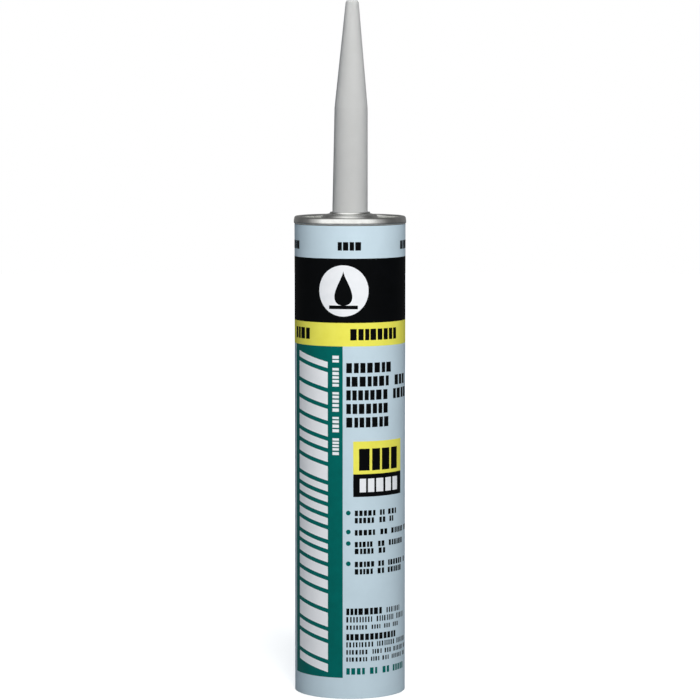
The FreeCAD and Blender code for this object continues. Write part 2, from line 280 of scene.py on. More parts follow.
def grid_faces(rows: int, columns: int, ring: bool = False, tube: bool = False) -> np.ndarray:
    """Faces of a grid of points that is stored row by row.

    Args:
        rows: how many rows the grid has.
        columns: how many columns it has.
        ring: whether the last column joins the first.
        tube: whether the last row joins the first.

    Returns:
        One row of four point numbers for each face.
    """
    row, column = np.meshgrid(
        np.arange(rows if tube else rows - 1),
        np.arange(columns if ring else columns - 1),
        indexing="ij",
    )
    after_row, after_column = (row + 1) % rows, (column + 1) % columns
    corners = (
        row * columns + column,
        row * columns + after_column,
        after_row * columns + after_column,
        after_row * columns + column,
    )
    return np.stack(corners, axis=-1).reshape(-1, 4)


def join_patches(patches: list[Patch]) -> Patch:
    """Put several patches into one, none of them joined to another."""
    starts = np.cumsum([0] + [len(patch.points) for patch in patches[:-1]])
    points = np.concatenate([patch.points for patch in patches])
    faces = np.concatenate([patch.faces + start for patch, start in zip(patches, starts)])
    return Patch(points, faces)


def rounded_line(corners: list[Point], radii: dict[int, float], steps: int = 8) -> np.ndarray:
    """A line through corners, some of them rounded.

    A round of radius r at a corner that turns by the angle a starts and ends r * tan(a / 2) from the
    corner, and its points turn evenly about a centre that is r away from both straight runs.

    Args:
        corners: (across, up) of each corner.
        radii: corner number to its radius.
        steps: points along each round, less one.

    Returns:
        The line's points, one (across, up) a row.
    """
    points = np.array(corners, float)
    line = []
    for index, corner in enumerate(points):
        radius = radii.get(index)
        if not radius:
            line.append(corner[None])
            continue
        into = corner - points[index - 1]
        out = points[(index + 1) % len(points)] - corner
        into, out = into / np.linalg.norm(into), out / np.linalg.norm(out)
        turn = math.atan2(into[0] * out[1] - into[1] * out[0], float(into @ out))
        side = math.copysign(1.0, turn)
        inward = np.array([-into[1], into[0]]) * side
        start = corner - into * radius * math.tan(abs(turn) / 2)
        centre = start + inward * radius
        angles = np.linspace(0.0, turn, steps + 1)[:, None]
        arm = start - centre
        crossed = np.array([-arm[1], arm[0]])
        line.append(centre + arm * np.cos(angles) + crossed * np.sin(angles))
    return np.concatenate(line)


def divided(line: np.ndarray, longest: float, closed: bool = False) -> np.ndarray:
    """The same line with its long straight runs cut into pieces no longer than the given length."""
    ends = np.roll(line, -1, axis=0) if closed else line[1:]
    starts = line if closed else line[:-1]
    counts = np.maximum(1, np.ceil(np.linalg.norm(ends - starts, axis=1) / longest)).astype(int)
    runs = [
        start + (end - start) * np.linspace(0, 1, count, endpoint=False)[:, None]
        for start, end, count in zip(starts, ends, counts)
    ]
    return np.concatenate(runs if closed else runs + [line[-1:]])


def offset_line(line: np.ndarray, distance: float) -> np.ndarray:
    """The line moved to its left by a distance: each point goes along the normal of its neighbours' chord."""
    along = np.gradient(line, axis=0)
    along /= np.linalg.norm(along, axis=1)[:, None]
    return line + distance * np.stack([-along[:, 1], along[:, 0]], axis=1)


def lathe(
    line: np.ndarray, columns: int = 256, closed: bool = False, dents: np.ndarray | None = None
) -> Patch:
    """Turn a line about the z axis: a point (r, z) at the angle t goes to (r sin t, -r cos t, z).

    A line that goes up on its outer side gives faces that point outwards.

    Args:
        line: points (radius, height), one a row.
        columns: steps in the full turn.
        closed: whether the line's end joins its start.
        dents: what to add to (radius, height) at each row and column, or nothing.

    Returns:
        The turned surface.
    """
    angles = np.arange(columns) * (FULL_TURN / columns)
    section = np.repeat(line[:, None, :], columns, axis=1)
    if dents is not None:
        section = section + dents
    radius, height = section[..., 0], section[..., 1]
    points = np.stack([radius * np.sin(angles), -radius * np.cos(angles), height], axis=-1)
    return Patch(points.reshape(-1, 3), grid_faces(len(line), columns, ring=True, tube=closed))


def make_piece(
    name: str,
    patch: Patch,
    finish: Finish,
    body: str,
    sharp_degrees: float = 35.0,
) -> bpy.types.Object:
    """Put a surface into a mesh object that rides on a body.

    Points at one place become one, which closes the surface's seams and poles.

    Args:
        name: the piece's name.
        patch: its surface, in millimetres.
        finish: what it is made of.
        body: the body that carries it.
        sharp_degrees: edges that turn by more than this stay sharp.

    Returns:
        The object, with its place in its mesh.
    """
    mesh = bpy.data.meshes.new(name)
    mesh.from_pydata((patch.points * MM).tolist(), [], patch.faces.tolist())
    work = bmesh.new()
    work.from_mesh(mesh)
    bmesh.ops.remove_doubles(work, verts=work.verts, dist=WELD_METRES)
    bmesh.ops.delete(work, geom=[edge for edge in work.edges if not edge.link_faces], context="EDGES")
    bmesh.ops.delete(work, geom=[vert for vert in work.verts if not vert.link_faces], context="VERTS")
    work.to_mesh(mesh)
    work.free()
    mesh.shade_smooth()
    mesh.set_sharp_from_angle(angle=math.radians(sharp_degrees))
    mesh.materials.append(material_of(finish))
    piece = link_object(name, mesh)
    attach(piece, body)
    LOG.info("%s: %d faces of %s", name, len(mesh.polygons), finish.name)
    return piece


def dress(node: str, finish: Finish) -> None:
    """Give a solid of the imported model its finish."""
    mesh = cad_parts[node].data
    mesh.materials.clear()
    mesh.materials.append(material_of(finish))
    LOG.info("%s: packed solid in %s", node, finish.name)


# Printed label


class Case(Enum):
    """How tall a line's blocks are: share of the line's full height."""

    CAPITAL = 1.0
    SMALL = 0.78


BLOCK_SPREAD = 0.25  # how much wider or narrower than its room a block may be


@dataclass(frozen=True)
class TextLine:
    """A line of print whose letters are plain blocks.

    Attributes:
        left: where the line starts, along the label from the middle of its front.
        right: where it ends.
        foot: height of the line's foot.
        height: height of its capitals.
        pitch: room for one block.
        words: blocks in each word; the last one repeats until the line is full.
        upright: whether the line runs up the tube, so that left and right are heights.
        gap: share of a block's room that stays empty.
        case: how tall its blocks are.
    """

    left: float
    right: float
    foot: float
    height: float
    pitch: float
    words: tuple[int, ...] = (99,)
    upright: bool = False
    gap: float = 0.26
    case: Case = Case.CAPITAL

    def quads(self, rng: np.random.Generator) -> np.ndarray:
        """Corners of every block of the line: its room, less the gap, between the line's foot and its top.

        Args:
            rng: picks each block's width.

        Returns:
            Array (blocks, 4, 2) of (along, up) corners: foot left, foot right, top right, top left.
        """
        cells = max(1, round((self.right - self.left) / self.pitch))
        share = rng.uniform(1.0 - BLOCK_SPREAD, 1.0 + BLOCK_SPREAD, size=cells)
        edges = self.left + np.concatenate([[0.0], np.cumsum(share)]) / share.sum() * (self.right - self.left)
        spaces = np.cumsum([n + 1 for n in self.words + (self.words[-1],) * cells]) - 1
        kept = ~np.isin(np.arange(cells), spaces)
        near = edges[:-1][kept]
        far = near + np.diff(edges)[kept] * (1.0 - self.gap)
        low = np.full_like(near, self.foot)
        high = low + self.height * self.case.value
        corners = [(near, low), (far, low), (far, high), (near, high)]
        quads = np.stack([np.stack(corner, axis=-1) for corner in corners], axis=1)
        if self.upright:
            quads = np.roll(np.stack([-quads[..., 1], quads[..., 0]], axis=-1), 1, axis=1)
        return quads


@dataclass
class PrintedLabel:
    """The paper label glued round the tube, and what is printed on it.

    Flat places on it are (along, up): along the paper from the middle of the front, to the right seen
    from the front, and up from the bottom edge.

    The paper and each band of ink end in a seam at the lap's free edge. One layer of ink is ink_lift high,
    and its film fills film_share of that.
    """

    radius: float = 25.05
    paper: float = 0.18
    height: float = 212.4
    lap_edge_degrees: float = 170.9
    lap_width: float = 8.0
    lap_step: float = 0.08
    lap_fade: float = 3.0
    paper_seam: float = 0.06
    ink_seam: float = 0.02
    edge_round: float = 0.12
    edge_inset: float = 0.03
    ink_lift: float = 0.02
    film_share: float = 0.9
    column: float = 0.45
    emblem_centre: Point = (-3.0, 183.6)
    seed: int = 7

    def sheet_radius(self, along: np.ndarray) -> np.ndarray:
        """Radius of the paper's face: it steps up at the lap's free edge and eases down past the lap."""
        edge = math.radians(self.lap_edge_degrees) * self.radius
        past = np.mod(along - edge, FULL_TURN * self.radius)
        ease = np.clip((self.lap_width - past) / self.lap_fade, 0.0, 1.0)
        return self.radius + self.lap_step * ease * ease * (3.0 - 2.0 * ease)

    def roll(self, flat: np.ndarray, lift: float) -> np.ndarray:
        """Wrap flat points round the tube, at a lift over the paper's face.

        The angle is the way along the paper over its radius, and the radius is the sheet's own there.

        Args:
            flat: points (along, up), one a row.
            lift: how far over the paper they lie.

        Returns:
            Points (x, y, z), one a row.
        """
        angle = flat[:, 0] / self.radius
        radius = self.sheet_radius(flat[:, 0]) + lift
        return np.stack([radius * np.sin(angle), -radius * np.cos(angle), flat[:, 1]], axis=1)

    def between(self, left: np.ndarray, right: np.ndarray) -> Patch:
        """A flat shape between two edges: every row is a straight run from its left point to its right one.

        Args:
            left: points (along, up) of the left edge, from foot to top.
            right: as many points of the right edge.

        Returns:
            The shape, with columns so narrow that it follows the tube's round.
        """
        columns = max(2, math.ceil(float(np.abs(right - left)[:, 0].max()) / self.column) + 1)
        share = np.linspace(0.0, 1.0, columns)[None, :, None]
        points = left[:, None] + (right - left)[:, None] * share
        return Patch(points.reshape(-1, 2), grid_faces(len(left), columns))

    def box(self, left: float, right: float, foot: float, top: float) -> Patch:
        """A flat upright rectangle."""
        return self.between(np.array([(left, foot), (left, top)]), np.array([(right, foot), (right, top)]))

    def bars(self, quads: np.ndarray, widest: float) -> Patch:
        """Many four-sided bars at once, each divided into the same number of columns.

        Args:
            quads: corners (bars, 4, 2): foot left, foot right, top right, top left.
            widest: width of the widest bar along the paper.

        Returns:
            The bars as one flat patch.
        """
        columns = math.ceil(widest / self.column) + 1
        share = np.linspace(0, 1, columns)[None, :, None]
        low = quads[:, None, 0] + (quads[:, None, 1] - quads[:, None, 0]) * share
        high = quads[:, None, 3] + (quads[:, None, 2] - quads[:, None, 3]) * share
        points = np.concatenate([low, high], axis=1).reshape(-1, 2)
        starts = np.arange(len(quads))[:, None, None] * (2 * columns)
        return Patch(points, (grid_faces(2, columns)[None] + starts).reshape(-1, 4))

    def spot(self, centre: Point, across: np.ndarray, up: np.ndarray) -> Patch:
        """A filled shape that is the same on both sides of an upright line through its centre."""
        left = np.column_stack([centre[0] - across, centre[1] + up])
        right = np.column_stack([centre[0] + across, centre[1] + up])
        return self.between(left, right)

    def disc(self, centre: Point, radius: float, steps: int = 40) -> Patch:
        """A filled disc: sin t across and -cos t up, for t over half a turn."""
        turn = np.linspace(0.0, math.pi, steps)
        return self.spot(centre, radius * np.sin(turn), -radius * np.cos(turn))

    def drop(self, centre: Point, radius: float) -> Patch:
        """A filled drop that points up: sin t times the square of cos (t / 2) across, -cos t up."""
        turn = np.linspace(0.0, math.pi, 48)
        across = radius * np.sin(turn) * np.cos(turn / 2) ** 2
        return self.spot(centre, across, -radius * 1.25 * np.cos(turn))

    def round_band(self, foot: float, top: float) -> Patch:
        """A band of ink right round the paper, cut at the lap's free edge."""
        start = math.radians(self.lap_edge_degrees) * self.radius
        finish = start + FULL_TURN * self.radius - self.ink_seam
        return self.box(start, finish, foot, top)

    def ink(self, name: str, flats: list[Patch], finish: Finish, layer: int) -> bpy.types.Object:
        """One colour of one printing: flat shapes wrapped on the label, as a closed film.

        The film's rim joins each edge of its face that only one quad has to the same edge of its back.

        Args:
            name: the piece's name.
            flats: its flat shapes.
            finish: the ink.
            layer: how many inks lie under it, plus one.

        Returns:
            The piece.
        """
        flat = join_patches(flats)
        count = len(flat.points)
        face = self.roll(flat.points, self.ink_lift * layer)
        back = self.roll(flat.points, self.ink_lift * (layer - self.film_share))
        starts, ends = flat.faces.ravel(), np.roll(flat.faces, -1, axis=1).ravel()
        alone = ~np.isin(starts * count + ends, ends * count + starts)
        has_length = np.linalg.norm(flat.points[starts] - flat.points[ends], axis=1) > 1e-6
        near, far = starts[alone & has_length], ends[alone & has_length]
        rim = np.stack([far, near, near + count, far + count], axis=1)
        faces = np.concatenate([flat.faces, flat.faces[:, ::-1] + count, rim])
        film = Patch(np.concatenate([face, back]), faces)
        return make_piece(name, film, finish, "cartridge")

    def make_sheet(self) -> bpy.types.Object:
        """The paper itself: a closed sleeve whose outer face follows the lap."""
        start = math.radians(self.lap_edge_degrees) * self.radius
        last = FULL_TURN * self.radius - self.paper_seam
        along = start + np.concatenate([[0.0], np.linspace(0.35, last, 420)])
        middle = np.linspace(0.5, self.height - 0.5, 56)
        heights = np.array([0.0, self.edge_round, *middle, self.height - self.edge_round, self.height])
        inset = np.where((heights == 0.0) | (heights == self.height), self.edge_inset, 0.0)
        outer = self.sheet_radius(along)[None] - inset[:, None]
        radius = np.concatenate([outer, np.full_like(outer, self.radius - self.paper)])
        height = np.repeat(np.concatenate([heights, heights[::-1]])[:, None], len(along), axis=1)
        angle = along / self.radius
        points = np.stack([radius * np.sin(angle), -radius * np.cos(angle), height], axis=-1)
        sheet = Patch(points.reshape(-1, 3), grid_faces(len(height), len(along), ring=True, tube=True))
        piece = make_piece("label_sheet", sheet, COATED_PAPER, "cartridge")
        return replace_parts(piece, "label")

    def front_lines(self) -> dict[str, list[TextLine]]:
        """Lines of print on the front, by the ink that they are printed in."""
        headings = [(147.0, 21.4), (140.9, 33.5), (134.8, 35.5), (128.7, 22.0), (122.6, 19.8)]
        points = [(82.8, 24.8), (79.5, 22.7), (74.0, 36.1), (68.7, 30.7)]
        points += [(65.6, 17.6), (59.7, 33.8), (56.4, 29.3)]
        capitals = [(34.7, 2.5, 31.8), (23.4, 2.3, 34.0)]
        small = [(31.4, 2.5, 26.6), (20.1, 2.7, 34.9), (16.9, 2.5, 34.1)]
        black = [TextLine(-1.65, right, foot, 4.48, 3.1, (7, 6, 8)) for foot, right in headings]
        black += [TextLine(2.15, right, foot, 2.47, 1.85, (5, 2, 6, 4), gap=0.3) for foot, right in points]
        black += [
            TextLine(-1.66, right, foot, height, 1.4, (9, 8), gap=0.5) for foot, height, right in capitals
        ]
        black += [
            TextLine(-1.66, right, foot, height, 1.4, (7, 4, 3, 6), gap=0.46, case=Case.SMALL)
            for foot, height, right in small
        ]
        black += [
            TextLine(-1.66, 15.7, 38.05, 3.0, 2.2),
            TextLine(17.9, 27.9, 38.2, 2.4, 1.5, gap=0.5),
            TextLine(-1.66, 24.3, 26.6, 2.85, 2.2),
        ]
        green = [TextLine(-1.66, 34.7, 11.0, 2.95, 2.2, (4, 2, 2, 5), gap=0.3)]
        return {"black": black, "green": green}

    def round_lines(self) -> list[TextLine]:
        """Short words that repeat round the top and along the yellow band."""
        lines = []
        for degrees in (-76.0, 0.0, 76.0, 180.0):
            middle = math.radians(degrees) * self.radius
            lines.append(TextLine(middle - 5.5, middle + 5.6, 201.55, 3.76, 2.8, gap=0.2))
        for left, right in ((0.13, 24.8), (-31.8, -19.3), (40.0, 62.0), (-66.0, -44.0)):
            lines.append(TextLine(left, right, 161.6, 5.05, 3.1, gap=0.22))
        return lines

    def back_lines(self) -> dict[str, list[TextLine]]:
        """Two columns of small print on the back, each a heading over paragraphs."""
        black, green = [], []
        words = (6, 3, 8, 4, 2, 5, 7)
        for left in (44.5, -74.5):
            right = left + 30.0
            for width, foot in ((20.0, 150.0), (16.0, 96.0), (22.0, 45.0)):
                green.append(TextLine(left, left + width, foot, 3.0, 2.4))
            for top, count in ((145.5, 8), (122.0, 7), (91.5, 9), (66.0, 5), (40.5, 8)):
                for row in range(count):
                    short = 9.0 if row == count - 1 else (row * 5 % 4) * 0.9
                    foot = top - 2.6 * row
                    black.append(
                        TextLine(left, right - short, foot, 1.7, 1.2, words, gap=0.4, case=Case.SMALL)
                    )
        return {"black": black, "green": green}

    def title_bars(self) -> list[Patch]:
        """The tall white title that runs up the green panel, as plain leaning bars.

        A bar's foot is towards the front of the tube and its top away from it, and its top is higher by
        the title's lean.
        """
        foot_side, top_side, lean, gap = -10.2, -28.25, 4.3, 1.9
        start, finish, count = 11.75, 151.8, 22
        share = np.random.default_rng(self.seed + 1).uniform(0.6, 1.5, size=count)
        edges = start + np.concatenate([[0.0], np.cumsum(share)]) / share.sum() * (finish + gap - start)
        flats = []
        for low, high in zip(edges[:-1], edges[1:] - gap):
            left = np.array([(top_side, low + lean), (top_side, high + lean)])
            right = np.array([(foot_side, low), (foot_side, high)])
            flats.append(self.between(left, right))
        return flats

    def line_bars(self, lines: list[TextLine], rng: np.random.Generator) -> list[Patch]:
        """The bars of several lines as flat patches."""
        widths = [line.height if line.upright else 1.5 * line.pitch for line in lines]
        return [self.bars(line.quads(rng), width) for line, width in zip(lines, widths)]

    def build(self) -> list[bpy.types.Object]:
        """Make the paper and its print, ink by ink.

        Returns:
            The label's pieces.
        """
        rng = np.random.default_rng(self.seed)
        front, back = self.front_lines(), self.back_lines()
        side_column = TextLine(110.2, 155.4, 4.99, 2.97, 1.8, (5, 4, 5, 5, 2), upright=True, gap=0.32)
        badge_large = TextLine(4.06, 26.0, 103.2, 9.8, 5.4, gap=0.2)
        badge_small = TextLine(4.36, 26.2, 93.45, 6.1, 4.3, gap=0.24)
        black_fields = [self.round_band(169.34, 197.96), self.box(1.42, 28.36, 91.4, 101.6)]
        yellow_fields = [self.round_band(158.88, 169.34), self.box(1.42, 28.36, 101.6, 116.33)]
        green = [self.box(-32.07, -3.27, 9.5, 158.88)]
        green += self.line_bars(front["green"] + back["green"], rng)
        green += [self.disc((-0.76, up), 1.05, 16) for up in (84.2, 75.65, 70.45, 61.3)]
        black = self.line_bars(self.round_lines() + front["black"] + back["black"] + [badge_large], rng)
        white = self.title_bars() + self.line_bars([side_column, badge_small], rng)
        white += [self.disc(self.emblem_centre, 11.4)]
        middle = self.emblem_centre[0]
        emblem = [self.drop((middle, 184.8), 6.2), self.box(middle - 6.5, middle + 6.5, 175.5, 177.1)]
        return [
            self.make_sheet(),
            self.ink("print_black_fields", black_fields, INK_BLACK, 1),
            self.ink("print_yellow_fields", yellow_fields, INK_YELLOW, 1),
            self.ink("print_green", green, INK_GREEN, 1),
            self.ink("print_black", black, INK_BLACK, 2),
            self.ink("print_white", white, INK_WHITE, 2),
            self.ink("print_emblem", emblem, INK_BLACK, 3),
        ]


# Metal end


@dataclass
class MetalEnd:
    """The drawn metal end, rolled over the tube's top edge and raised in the middle for the nozzle.

    The skin has the seen side's corners, each (radius, height, round), from under the roll to the hole.
    """

    sheet: float = 0.28
    skin: tuple[tuple[float, float, float], ...] = (
        (24.51, 213.85, 0.0),
        (24.51, 212.65, 0.36),
        (25.35, 212.65, 0.36),
        (25.35, 213.85, 1.2),
        (25.03, 215.9, 1.0),
        (23.17, 215.9, 0.7),
        (23.17, 211.2, 0.6),
        (21.77, 211.2, 0.6),
        (21.77, 212.7, 0.7),
        (14.17, 212.7, 0.8),
        (11.97, 216.5, 1.0),
        (9.2, 217.05, 0.15),
        (9.0, 217.7, 0.2),
        (8.07, 217.7, 0.0),
    )
    columns: int = 320
    dent: float = 0.035
    waves: int = 7
    still_radius: float = 9.0
    fade: float = 3.0
    seed: int = 11

    def wobble(self, line: np.ndarray) -> np.ndarray:
        """Uneven pressing: a few slow waves round the end, none at its hole.

        Each wave is a cosine of a whole number of turns with its own phase, and its phase drifts with
        the radius so that the waves don't line up.

        Args:
            line: the section's points (radius, height).

        Returns:
            What to add to (radius, height) at each row and column.
        """
        rng = np.random.default_rng(self.seed)
        angle = np.arange(self.columns) * (FULL_TURN / self.columns)
        turns = rng.integers(3, 19, size=self.waves)
        phases = rng.uniform(0, FULL_TURN, size=self.waves)
        drift = rng.uniform(-0.5, 0.5, size=self.waves)
        turned = turns[:, None, None] * angle[None, None, :] + phases[:, None, None]
        turned = turned + (drift[:, None] * line[None, :, 0])[:, :, None]
        height = np.cos(turned).sum(axis=0) / self.waves
        share = np.clip((line[:, 0] - self.still_radius) / self.fade, 0.0, 1.0)[:, None]
        change = self.dent * share * height
        return np.stack([0.4 * np.minimum(change, 0.0), change - np.abs(change).max() * 0.5], axis=-1)

    def build(self) -> bpy.types.Object:
        """Turn the sheet's section, its seen side and its hidden side, into one closed shell."""
        corners = [(radius, height) for radius, height, _ in self.skin]
        rounds = {index: corner[2] for index, corner in enumerate(self.skin)}
        seen = divided(rounded_line(corners, rounds, steps=7), 1.0)
        hidden = offset_line(seen, self.sheet)
        section = np.concatenate([seen, hidden[::-1]])
        patch = lathe(section, self.columns, closed=True, dents=self.wobble(section))
        piece = make_piece("metal_end", patch, TINPLATE, "cartridge")
        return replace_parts(piece, "top_end")


# Nozzle


@dataclass
class Nozzle:
    """The moulded nozzle: a long taper with a closed, rounded tip, held by a flange under the end.

    Its heights are over its seat, and it leans towards +X.
    """

    seat: float = 218.05
    lean_degrees: float = 0.6
    wall: float = 1.3
    base_radius: float = 7.95
    bend_radius: float = 7.43
    bend_height: float = 46.4
    tip_radius: float = 2.79
    length: float = 94.9
    tip_round: float = 1.8
    tip_wall: float = 3.0
    flange_radius: float = 10.05
    flange_foot: float = -2.54
    flange_edge: float = -1.34
    flange_top: float = -1.2
    mould_line: float = 0.02
    mould_line_width: float = 0.03
    columns: int = 240

    def section(self) -> np.ndarray:
        """The wall's section (radius, height above the seat), anticlockwise from the bore's foot."""
        taper = (self.bend_radius - self.tip_radius) / (self.length - self.bend_height)
        bore_tip = self.tip_radius + taper * self.tip_wall - self.wall
        corners = [
            (self.base_radius - self.wall, self.flange_foot),
            (self.flange_radius, self.flange_foot),
            (self.flange_radius, self.flange_edge),
            (self.base_radius, self.flange_top),
            (self.base_radius, 0.0),
            (self.bend_radius, self.bend_height),
            (self.tip_radius, self.length),
            (0.0, self.length),
            (0.0, self.length - self.tip_wall),
            (bore_tip, self.length - self.tip_wall),
            (self.bend_radius - self.wall, self.bend_height),
        ]
        rounds = {1: 0.2, 2: 0.2, 5: 4.0, 6: self.tip_round, 9: 0.5}
        return divided(rounded_line(corners, rounds, steps=10), 1.6, closed=True)

    def lean(self, points: np.ndarray) -> np.ndarray:
        """Tilt about the Y axis towards +X and lift to the seat."""
        tilt = math.radians(self.lean_degrees)
        x, y, z = points.T
        return np.stack(
            [x * math.cos(tilt) + z * math.sin(tilt), y, z * math.cos(tilt) - x * math.sin(tilt) + self.seat],
            axis=1,
        )

    def build(self) -> bpy.types.Object:
        """Turn the section, raise the two fine lines where the mould's halves met, and lean it."""
        section = self.section()
        angle = np.arange(self.columns) * (FULL_TURN / self.columns)
        ridge = np.exp(-((np.abs(np.cos(angle)) / self.mould_line_width) ** 2))
        straight = (section[:, 1] > 0.5) & (section[:, 1] < self.length - self.tip_round - 1.0)
        radii = np.array([self.base_radius, self.bend_radius, self.tip_radius])
        wall_middle = np.interp(section[:, 1], [0, self.bend_height, self.length], radii - self.wall / 2)
        outside = straight & (section[:, 0] > wall_middle)
        dents = np.zeros((len(section), self.columns, 2))
        dents[..., 0] = self.mould_line * outside[:, None] * ridge[None]
        patch = lathe(section, self.columns, closed=True, dents=dents)
        leaning = Patch(self.lean(patch.points), patch.faces)
        piece = make_piece("nozzle_moulding", leaning, GREY_POLYETHYLENE, "cartridge")
        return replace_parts(piece, "nozzle")


# Inside of the tube


@dataclass
class TubeInside:
    """The foil liner and the sealant behind it."""

    bore: float = 23.5
    foil: float = 0.2
    liner_top: float = 214.77
    fill_radius: float = 23.4
    fill_foot: float = 36.42
    fill_top: float = 210.82
    squashed: float = 0.0025

    def make_liner(self) -> bpy.types.Object:
        """The liner: a thin closed sleeve."""
        outside = self.bore + self.foil
        corners = [(self.bore, 0.0), (outside, 0.0), (outside, self.liner_top), (self.bore, self.liner_top)]
        section = divided(np.array(corners, float), 5.0, closed=True)
        sleeve = lathe(section, 240, closed=True)
        piece = make_piece("liner_sleeve", sleeve, LINER_FOIL, "cartridge")
        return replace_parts(piece, "foil_liner")

    def make_sealant(self) -> bpy.types.Object:
        """The sealant: a solid column from the plunger's top up to just under the metal end, with its own
        mesh.
        """
        foot, top = self.fill_foot, self.fill_top
        corners = [(0.0, foot), (self.fill_radius, foot), (self.fill_radius, top), (0.0, top)]
        section = divided(rounded_line(corners, {1: 0.6, 2: 1.0}), 6.0)
        piece = make_piece("sealant_column", lathe(section, 160), SEALANT_PASTE, "cartridge")
        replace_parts(piece, "sealant")
        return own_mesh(piece)

    def build(self) -> list[bpy.types.Object]:
        """Make the liner and the sealant, and dress the solids that stay."""
        dress("tube_body", WOUND_BOARD)
        dress("seam_gasket", LINING_COMPOUND)
        dress("nozzle_membrane", SEAL_FOIL)
        return [self.make_liner(), self.make_sealant()]


@dataclass
class Plunger:
    """The moulded plunger that a caulking gun pushes up the tube."""

    base: float = 20.32
    height: float = 16.0
    lip_radius: float = 23.4
    barrel_radius: float = 22.9
    cup_radius: float = 21.5
    crown: float = 1.6
    lip_height: float = 1.8
    lip_slope: float = 0.7
    hub_radius: float = 4.0
    rib_depth: float = 5.0
    rib_thickness: float = 1.2
    ribs: int = 8

    def shell(self) -> Patch:
        """The cup and its two wiping lips, turned as one closed section."""
        upper = self.height - self.lip_height
        roof = self.height - self.crown
        corners = [
            (self.cup_radius, 0.0),
            (self.lip_radius, 0.0),
            (self.lip_radius, self.lip_height),
            (self.barrel_radius, self.lip_height + self.lip_slope),
            (self.barrel_radius, upper - self.lip_slope),
            (self.lip_radius, upper),
            (self.lip_radius, self.height),
            (0.0, self.height),
            (0.0, roof),
            (self.cup_radius, roof),
        ]
        rounds = {0: 0.3, 1: 0.35, 2: 0.3, 5: 0.3, 6: 0.35, 9: 1.5}
        return lathe(divided(rounded_line(corners, rounds), 2.0, closed=True), 200, closed=True)

    def hub(self) -> Patch:
        """The round boss in the middle of the cup, sunk into its roof."""
        foot = self.height - self.crown - self.rib_depth
        top = self.height - self.crown / 2
        corners = [(0.0, foot), (self.hub_radius, foot), (self.hub_radius, top), (0.0, top)]
        return lathe(rounded_line(corners, {1: 0.4}), 96)

    def rib(self, angle: float) -> Patch:
        """One rib from the hub to the cup's wall: a closed rounded section carried along its length.

        The section is a box whose foot is rounded, and every point of it moves straight out from the
        hub's inside to the wall's inside.

        Args:
            angle: which way the rib points.

        Returns:
            The rib's surface.
        """
        foot = self.height - self.crown - self.rib_depth
        top = self.height - self.crown / 2
        half = self.rib_thickness / 2
        outline = rounded_line([(-half, foot), (half, foot), (half, top), (-half, top)], {0: 0.3, 1: 0.3})
        reach = np.array([self.hub_radius / 2, self.cup_radius + 0.7])
        ends = [np.column_stack([np.full(len(outline), r), -outline[:, 0], outline[:, 1]]) for r in reach]
        middles = [np.repeat(end.mean(axis=0)[None], len(outline), axis=0) for end in ends]
        points = np.concatenate([middles[0], *ends, middles[1]])
        cos, sin = math.cos(angle), math.sin(angle)
        turn = np.array([[cos, sin, 0], [-sin, cos, 0], [0, 0, 1]])
        return Patch(points @ turn, grid_faces(4, len(outline), ring=True))

    def build(self) -> bpy.types.Object:
        """Join the cup, the hub and the ribs into the plunger."""
        parts = [self.shell(), self.hub()]
        parts += [self.rib(FULL_TURN * number / self.ribs) for number in range(self.ribs)]
        joined = join_patches(parts)
        joined.points[:, 2] += self.base
        piece = make_piece("plunger_moulding", joined, WHITE_POLYETHYLENE, "plunger")
        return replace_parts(piece, "plunger")


# Studio


@dataclass
class PhotoCamera:
    """The camera, as the photograph was taken: far away, a little above the tube's top."""

    distance: float = 1353.0
    height: float = 275.9
    aim_height: float = 155.1
    focal_pixels: float = 2999.0
    picture_pixels: float = 700.0
    sensor_width: float = 36.0

    def build(self) -> bpy.types.Object:
        """Make the camera and give it to the scene."""
        data = bpy.data.cameras.new("photo_camera")
        data.sensor_width = self.sensor_width
        data.lens = self.focal_pixels / self.picture_pixels * self.sensor_width
        data.clip_end = 200.0
        camera = link_object("photo_camera", data)
        camera.location = (0.0, -self.distance * MM, self.height * MM)
        tilt = math.atan2(self.height - self.aim_height, self.distance)
        camera.rotation_euler = (math.pi / 2 - tilt, 0.0, 0.0)
        bpy.context.scene.camera = camera
        return camera


@dataclass(frozen=True)
class SoftBox:
    """A flat lamp that faces the object, in metres, and in degrees round from the front and up."""

    name: str
    azimuth: float
    elevation: float
    distance: float
    width: float
    height: float
    watts: float
    warmth: str = "#FFFFFF"
    aim_height: float = 0.15

    def build(self) -> bpy.types.Object:
        """Make the lamp, facing the object. The room alone is what shiny surfaces mirror."""
        data = bpy.data.lights.new(self.name, "AREA")
        data.shape = "RECTANGLE"
        data.size, data.size_y = self.width, self.height
        data.energy = self.watts
        data.color = srgb(self.warmth)[:3]
        lamp = link_object(self.name, data)
        turn, rise = math.radians(self.azimuth), math.radians(self.elevation)
        lamp.location = (
            self.distance * math.cos(rise) * math.sin(turn),
            -self.distance * math.cos(rise) * math.cos(turn),
            self.aim_height + self.distance * math.sin(rise),
        )
        lamp.rotation_euler = (math.pi / 2 - rise, 0.0, turn)
        lamp.visible_glossy = False
        return lamp


